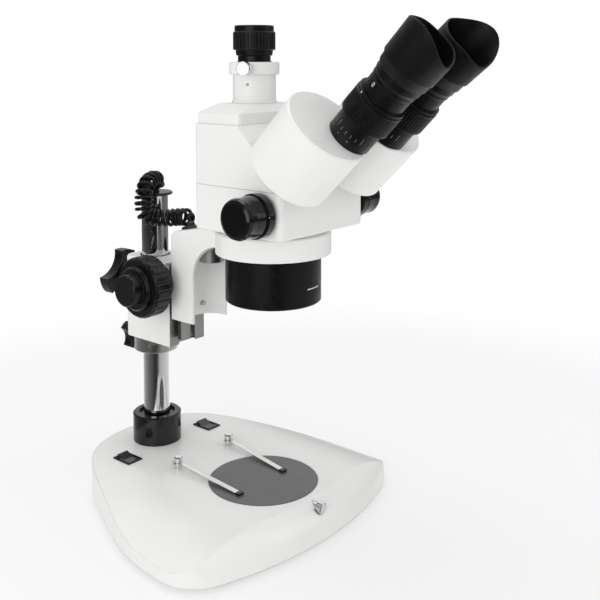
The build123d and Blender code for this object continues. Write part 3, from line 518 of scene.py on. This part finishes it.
def cup_section(turn):
    """Closed (radius, height) outline of the soft wall in one direction, from the foot outwards and back."""
    rim, top = cup_rim(turn)
    shoulder = 22.4 + 0.6 * math.cos(turn)
    low = CUP_SHOULDER_Z + CUP_FOLD
    rise = top - CUP_LIP - CUP_SHOULDER_Z
    outline = [
        (CUP_BORE, CUP_FOOT_Z),
        (20.5, CUP_FOOT_Z),
        (20.8, CUP_FOOT_Z + 0.3),
        (21.3, CUP_SHOULDER_Z - CUP_FOLD),
        (shoulder - 0.3, CUP_SHOULDER_Z),
        (shoulder, low),
    ]
    for k in range(1, WALL_STEPS):
        share = k / WALL_STEPS
        outline.append((shoulder + (rim - shoulder) * share, low + rise * share))
    half = CUP_WALL / 2
    for k in range(BEND_STEPS + 1):
        bend = math.pi * k / BEND_STEPS
        outline.append((rim - half + half * math.cos(bend), top - half + half * math.sin(bend)))
    inner = rim - CUP_WALL
    inner_top = top - half
    for k in range(1, FUNNEL_STEPS):
        share = k / FUNNEL_STEPS
        r = inner + (CUP_BORE - inner) * share ** 0.8
        outline.append((r, inner_top - (inner_top - CUP_FUNNEL_Z) * share))
    outline.append((CUP_BORE, CUP_FUNNEL_Z))
    return outline


def add_eyecup(side, sign):
    """Soft cup with a wing on its outer side, in place of the plain one of the CAD."""
    eye = eye_frame(sign, (sign, 0, 0))
    mesh = bmesh.new()
    loops = []
    for turn in full_turn(CUP_SEGMENTS):
        loops.append([mesh.verts.new(eye @ polar(r, sign * turn, h)) for r, h in cup_section(turn)])
    for a, b in zip(loops, loops[1:] + loops[:1]):
        join_loops(mesh, a, b)
    cup = piece(f"eyecup_soft_{side}", mesh, rubber, f"ocular_{side}")
    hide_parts(f"eyecup_{side}")


add_eyecup("left", -1)
add_eyecup("right", 1)


# ---------------------------------------------------------------- coiled cord

CORD_PATH = [
    (0.0, 139.0, 271.9),
    (0.4, 138.5, 277.0),
    (0.0, 136.0, 283.0),
    (-9.5, 132.5, 284.5),
    (-19.0, 128.5, 280.5),
    (-23.0, 127.5, 272.0),
    (-23.0, 128.0, 262.0),
    (-21.5, 126.5, 254.0),
    (-15.0, 120.0, 250.5),
    (-8.0, 111.5, 250.8),
    (-3.5, 102.0, 252.0),
    (-2.0, 94.5, 252.6),
    (-3.5, 88.0, 253.0),
    (-5.0, 85.3, 250.0),
]
PATH_STEPS = 12
COIL_R = 6.7
COIL_TURNS = 22.5
COIL_STEPS = 760
COIL_LEAD = 6.0
PLUG_LENGTHS = (1.0, 1.5)
WIRE_R = 1.65
WIRE_SIDES = 12
CARRIER_CUT = (-23.0, 128.0, 263.0)
BLOCK_CUT = (-7.5, 110.5, 250.9)
CORD_SPANS = [
    ("cord_coil_pillar", "root", "carrier", (-6, 134, 283), (-23, 128, 267)),
    ("cord_coil_middle", "carrier", "block", (-22.5, 127.5, 258), (-9.5, 113.5, 251)),
    ("cord_coil_arm", "block", "arm_body", (-6, 107, 251.5), (-3, 96, 252.5)),
]
GROMMET = [(0, -0.3), (4.6, -0.3), (4.6, 0.8), (3.8, 1.5), (2.4, 1.8), (1.8, 1.9), (0, 1.9)]


def smooth_path(points, per_span):
    """Catmull-Rom curve through the points."""
    pts = [Vector(p) for p in points]
    pts = [pts[0] * 2 - pts[1]] + pts + [pts[-1] * 2 - pts[-2]]
    out = []
    for k in range(1, len(pts) - 2):
        a, b, c, d = pts[k - 1:k + 3]
        for i in range(per_span):
            t = i / per_span
            square = (2 * a - 5 * b + 4 * c - d) * t * t
            cube = (3 * b - a - 3 * c + d) * t ** 3
            out.append(0.5 * ((2 * b) + (c - a) * t + square + cube))
    out.append(pts[-2])
    return out


def resample(points, count):
    """The same curve with count equal steps, and its length."""
    lengths = [0.0]
    for a, b in zip(points, points[1:]):
        lengths.append(lengths[-1] + (b - a).length)
    out = []
    k = 0
    for i in range(count + 1):
        s = lengths[-1] * i / count
        while k < len(points) - 2 and lengths[k + 1] < s:
            k += 1
        span = max(1e-9, lengths[k + 1] - lengths[k])
        out.append(points[k].lerp(points[k + 1], (s - lengths[k]) / span))
    return out, lengths[-1]


def carried_frames(points):
    """Two side vectors for each point, carried along the curve without twisting."""
    frames = []
    heading = (points[1] - points[0]).normalized()
    side = heading.orthogonal().normalized()
    for k in range(len(points)):
        ahead = points[min(k + 1, len(points) - 1)]
        behind = points[max(k - 1, 0)]
        new = (ahead - behind).normalized()
        side = heading.rotation_difference(new) @ side
        side = (side - new * side.dot(new)).normalized()
        heading = new
        frames.append((side.copy(), heading.cross(side)))
    return frames


def around(point, frame, radius, angle):
    """Point at this radius and angle round a point of the curve."""
    side, up = frame
    return point + (side * math.cos(angle) + up * math.sin(angle)) * radius


def ease(t):
    """Smooth step from 0 to 1."""
    t = max(0.0, min(1.0, t))
    return t * t * (3 - 2 * t)


def tube(points, radius, sides):
    """Closed round tube along the points, in mm."""
    mesh = bmesh.new()
    loops = []
    for point, frame in zip(points, carried_frames(points)):
        ring = [around(point, frame, radius, angle) * MM for angle in full_turn(sides)]
        loops.append([mesh.verts.new(at) for at in ring])
    for a, b in zip(loops, loops[1:]):
        join_loops(mesh, a, b)
    mesh.faces.new(list(reversed(loops[0])))
    mesh.faces.new(loops[-1])
    return mesh


def coil_round(middle, length):
    """Wire path that winds round the middle line and runs into it at both ends."""
    start, end = PLUG_LENGTHS
    path = []
    for k, (point, frame) in enumerate(zip(middle, carried_frames(middle))):
        s = length * k / COIL_STEPS
        reach = COIL_R * ease((s - start) / COIL_LEAD) * ease((length - end - s) / COIL_LEAD)
        path.append(around(point, frame, reach, 2 * math.pi * COIL_TURNS * k / COIL_STEPS))
    return path


def nearest(points, target):
    """Number of the point that is nearest to the target."""
    return min(range(len(points)), key=lambda k: (points[k] - Vector(target)).length)


def add_cord():
    """Coiled wire in three spans, cut at the points nearest the carrier and the block; the spans are not
    attached to any body.
    """
    middle, length = resample(smooth_path(CORD_PATH, PATH_STEPS), COIL_STEPS)
    coil = coil_round(middle, length)
    cuts = [0, nearest(middle, CARRIER_CUT), nearest(middle, BLOCK_CUT), COIL_STEPS]
    for (name, first, second, start, end), low, high in zip(CORD_SPANS, cuts, cuts[1:]):
        span = piece(name, tube(coil[low:high + 1], WIRE_R, WIRE_SIDES), cord_rubber)
        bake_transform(span)
        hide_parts("coiled_cord")


def add_grommet():
    """Rubber bush where the cord leaves the pillar's cap."""
    mesh = bmesh.new()
    lathe(mesh, place((0, 139, 272.1), (0, 0, 1), (1, 0, 0)), GROMMET, 32)
    piece("cap_grommet", mesh, rubber, "root")


add_cord()
add_grommet()


# ---------------------------------------------------------------- floor

FLOOR_R = 30.0
FLOOR_DROP = 0.0002
FLOOR_TONES = ((0.891, 0.891, 0.891), (0.90, 0.90, 0.90))
# Painted light: the floor glows, with this least share of glow near the part, rising to full glow between
# these distances in metres.
GLOW_FROM, GLOW_TO = 0.30, 0.75
GLOW_LEAST = 0.45
BACKDROP_GLOW = 1.02


def floor_material():
    """Pale floor with painted light: it glows, partly near the part and fully away from it, so it fades into
    the white background.
    """
    g = Graph("floor_pale")
    dark, light = FLOOR_TONES
    g.put(g.mix(g.noise(3.0, 2.0), rgba(dark), rgba(light)), g.bsdf.inputs["Base Color"])
    g.bsdf.inputs["Roughness"].default_value = 0.8
    reach = g.add("ShaderNodeVectorMath", operation="LENGTH")
    g.link(g.coords, reach.inputs[0])
    far = g.ramp(reach.outputs["Value"], GLOW_FROM, GLOW_TO, 0.0, 1.0)
    glow = g.add("ShaderNodeEmission")
    glow.inputs["Strength"].default_value = BACKDROP_GLOW
    both = g.add("ShaderNodeMixShader")
    # Painted light: the share of glow on the floor.
    g.link(g.math("MAXIMUM", far, GLOW_LEAST), both.inputs[0])
    g.link(g.bsdf.outputs[0], both.inputs[1])
    g.link(glow.outputs[0], both.inputs[2])
    g.link(both.outputs[0], g.out.inputs["Surface"])
    return g.mat


def add_floor():
    """Wide round floor just under the feet, unseen in reflections."""
    mesh = bmesh.new()
    bmesh.ops.create_circle(mesh, cap_ends=True, segments=96, radius=FLOOR_R)
    floor = piece("floor", mesh, floor_material())
    floor.location.z = -FLOOR_DROP
    floor.visible_glossy = False


add_floor()


# ---------------------------------------------------------------- studio

# Brightness of the reflected studio, once round the object: dark around the camera, brighter to the sides.
AROUND = [
    (0.00, 1.10),
    (0.06, 0.75),
    (0.18, 0.33),
    (0.26, 0.20),
    (0.37, 0.10),
    (0.50, 0.04),
    (0.535, 0.14),
    (0.585, 0.45),
    (0.69, 0.60),
    (0.78, 0.68),
    (0.88, 0.95),
    (1.00, 1.20),
]
# Share of that brightness from straight down to straight up.
BY_HEIGHT = [(0.0, 1.0), (0.36, 1.0), (0.41, 0.22), (0.50, 0.22), (0.62, 0.6), (1.0, 1.2)]
STUDIO_TURN = math.radians(130.8)
ROOM_COLOR = (1.0, 1.0, 0.995)
ROOM_LIGHT = 0.80
PURE_WHITE = (1.0, 1.0, 1.0)


class World:
    """Small helper that adds and links the nodes of the world."""

    def __init__(self, name):
        world = bpy.data.worlds.new(name)
        bpy.context.scene.world = world
        world.use_nodes = True
        self.tree = world.node_tree
        self.tree.nodes.clear()

    def add(self, kind, **values):
        node = self.tree.nodes.new(kind)
        for key, value in values.items():
            setattr(node, key, value)
        return node

    def link(self, source, target):
        self.tree.links.new(source, target)

    def curve(self, value, points):
        """Value through a curve with these (input, output) points."""
        node = self.add("ShaderNodeFloatCurve")
        node.mapping.clip_max_y = 2.0
        knots = node.mapping.curves[0].points
        knots[0].location = points[0]
        knots[1].location = points[-1]
        for at in points[1:-1]:
            knots.new(*at)
        node.mapping.update()
        self.link(value, node.inputs["Value"])
        return node.outputs[0]

    def background(self, color, strength):
        node = self.add("ShaderNodeBackground")
        node.inputs["Color"].default_value = rgba(color)
        node.inputs["Strength"].default_value = strength
        return node

    def choose(self, share, a, b):
        node = self.add("ShaderNodeMixShader")
        self.link(share, node.inputs[0])
        self.link(a, node.inputs[1])
        self.link(b, node.inputs[2])
        return node.outputs[0]


def studio():
    """White to the camera, even light on matt surfaces, bands of light and dark in reflections."""
    w = World("studio")
    turned = w.add("ShaderNodeVectorRotate", rotation_type="Z_AXIS")
    turned.inputs["Angle"].default_value = STUDIO_TURN
    w.link(w.add("ShaderNodeTexCoord").outputs["Generated"], turned.inputs["Vector"])
    parts = w.add("ShaderNodeSeparateXYZ")
    w.link(turned.outputs[0], parts.inputs[0])

    angle = w.add("ShaderNodeMath", operation="ARCTAN2")
    w.link(parts.outputs["Y"], angle.inputs[0])
    w.link(parts.outputs["X"], angle.inputs[1])
    share = w.add("ShaderNodeMapRange")
    share.inputs["From Min"].default_value = -math.pi
    share.inputs["From Max"].default_value = math.pi
    w.link(angle.outputs[0], share.inputs["Value"])
    lift = w.add("ShaderNodeMapRange")
    lift.inputs["From Min"].default_value = -1.0
    w.link(parts.outputs["Z"], lift.inputs["Value"])

    strength = w.add("ShaderNodeMath", operation="MULTIPLY")
    w.link(w.curve(share.outputs[0], AROUND), strength.inputs[0])
    w.link(w.curve(lift.outputs[0], BY_HEIGHT), strength.inputs[1])
    mirrored = w.background(PURE_WHITE, 1.0)
    w.link(strength.outputs[0], mirrored.inputs["Strength"])

    room = w.background(ROOM_COLOR, ROOM_LIGHT)
    paper = w.background(PURE_WHITE, BACKDROP_GLOW)
    path = w.add("ShaderNodeLightPath")
    lit = w.choose(path.outputs["Is Glossy Ray"], room.outputs[0], mirrored.outputs[0])
    seen = w.choose(path.outputs["Is Camera Ray"], lit, paper.outputs[0])
    w.link(seen, w.add("ShaderNodeOutputWorld").inputs["Surface"])


def softbox(name, where, aim, size, power):
    """Rectangular lamp at one place, turned towards another, in metres and watts."""
    data = bpy.data.lights.new(name, "AREA")
    data.shape = "RECTANGLE"
    data.size, data.size_y = size
    data.energy = power
    lamp = bpy.data.objects.new(name, data)
    bpy.context.scene.collection.objects.link(lamp)
    lamp.location = where
    lamp.rotation_euler = (Vector(aim) - Vector(where)).to_track_quat("-Z", "Y").to_euler()


studio()
softbox("key", (-1.5, -0.4, 0.5), (0, 0, 0.2), (1.2, 1.0), 7.0)
softbox("top", (-0.1, 0.4, 1.8), (0, 0, 0.1), (1.2, 1.2), 5.2)
softbox("fill", (1.0, -1.4, 0.8), (0, 0, 0.2), (0.7, 1.1), 1.8)


# ---------------------------------------------------------------- camera

CAMERA_AT = Vector((-571.46, -523.31, 400.61)) * MM
AZIMUTH, PITCH = math.radians(-49.876), math.radians(4.319)
SENSOR_WIDTH = 36.0
FOCAL_LENGTH = 55.02
LENS_SHIFT = -0.2921
CLIP_START = 0.01


def add_camera():
    """Camera at the main view, looking almost level; shift_lens shifts its lens down."""
    data = bpy.data.cameras.new("camera")
    data.sensor_width = SENSOR_WIDTH
    data.lens = FOCAL_LENGTH
    data.clip_start = CLIP_START
    camera = bpy.data.objects.new("camera", data)
    bpy.context.scene.collection.objects.link(camera)
    camera.location = CAMERA_AT
    level = math.cos(PITCH)
    back = Vector((math.sin(AZIMUTH) * level, -math.cos(AZIMUTH) * level, math.sin(PITCH)))
    camera.rotation_mode = "QUATERNION"
    camera.rotation_quaternion = (-back).to_track_quat("-Z", "Y")
    return camera


def shift_lens(camera):
    """Shifts the lens for the main view only; a driver centres it when the camera stands elsewhere."""
    driver = camera.data.driver_add("shift_y").driver
    driver.type = "SCRIPTED"
    watched = driver.variables.new()
    watched.name = "x"
    watched.type = "TRANSFORMS"
    watched.targets[0].id = camera
    watched.targets[0].transform_type = "LOC_X"
    watched.targets[0].transform_space = "WORLD_SPACE"
    driver.expression = f"{LENS_SHIFT} if abs(x + {abs(CAMERA_AT.x):.5f}) < 0.0005 else 0"


scene = bpy.context.scene
scene.view_settings.view_transform = "Standard"
scene.camera = add_camera()
shift_lens(scene.camera)
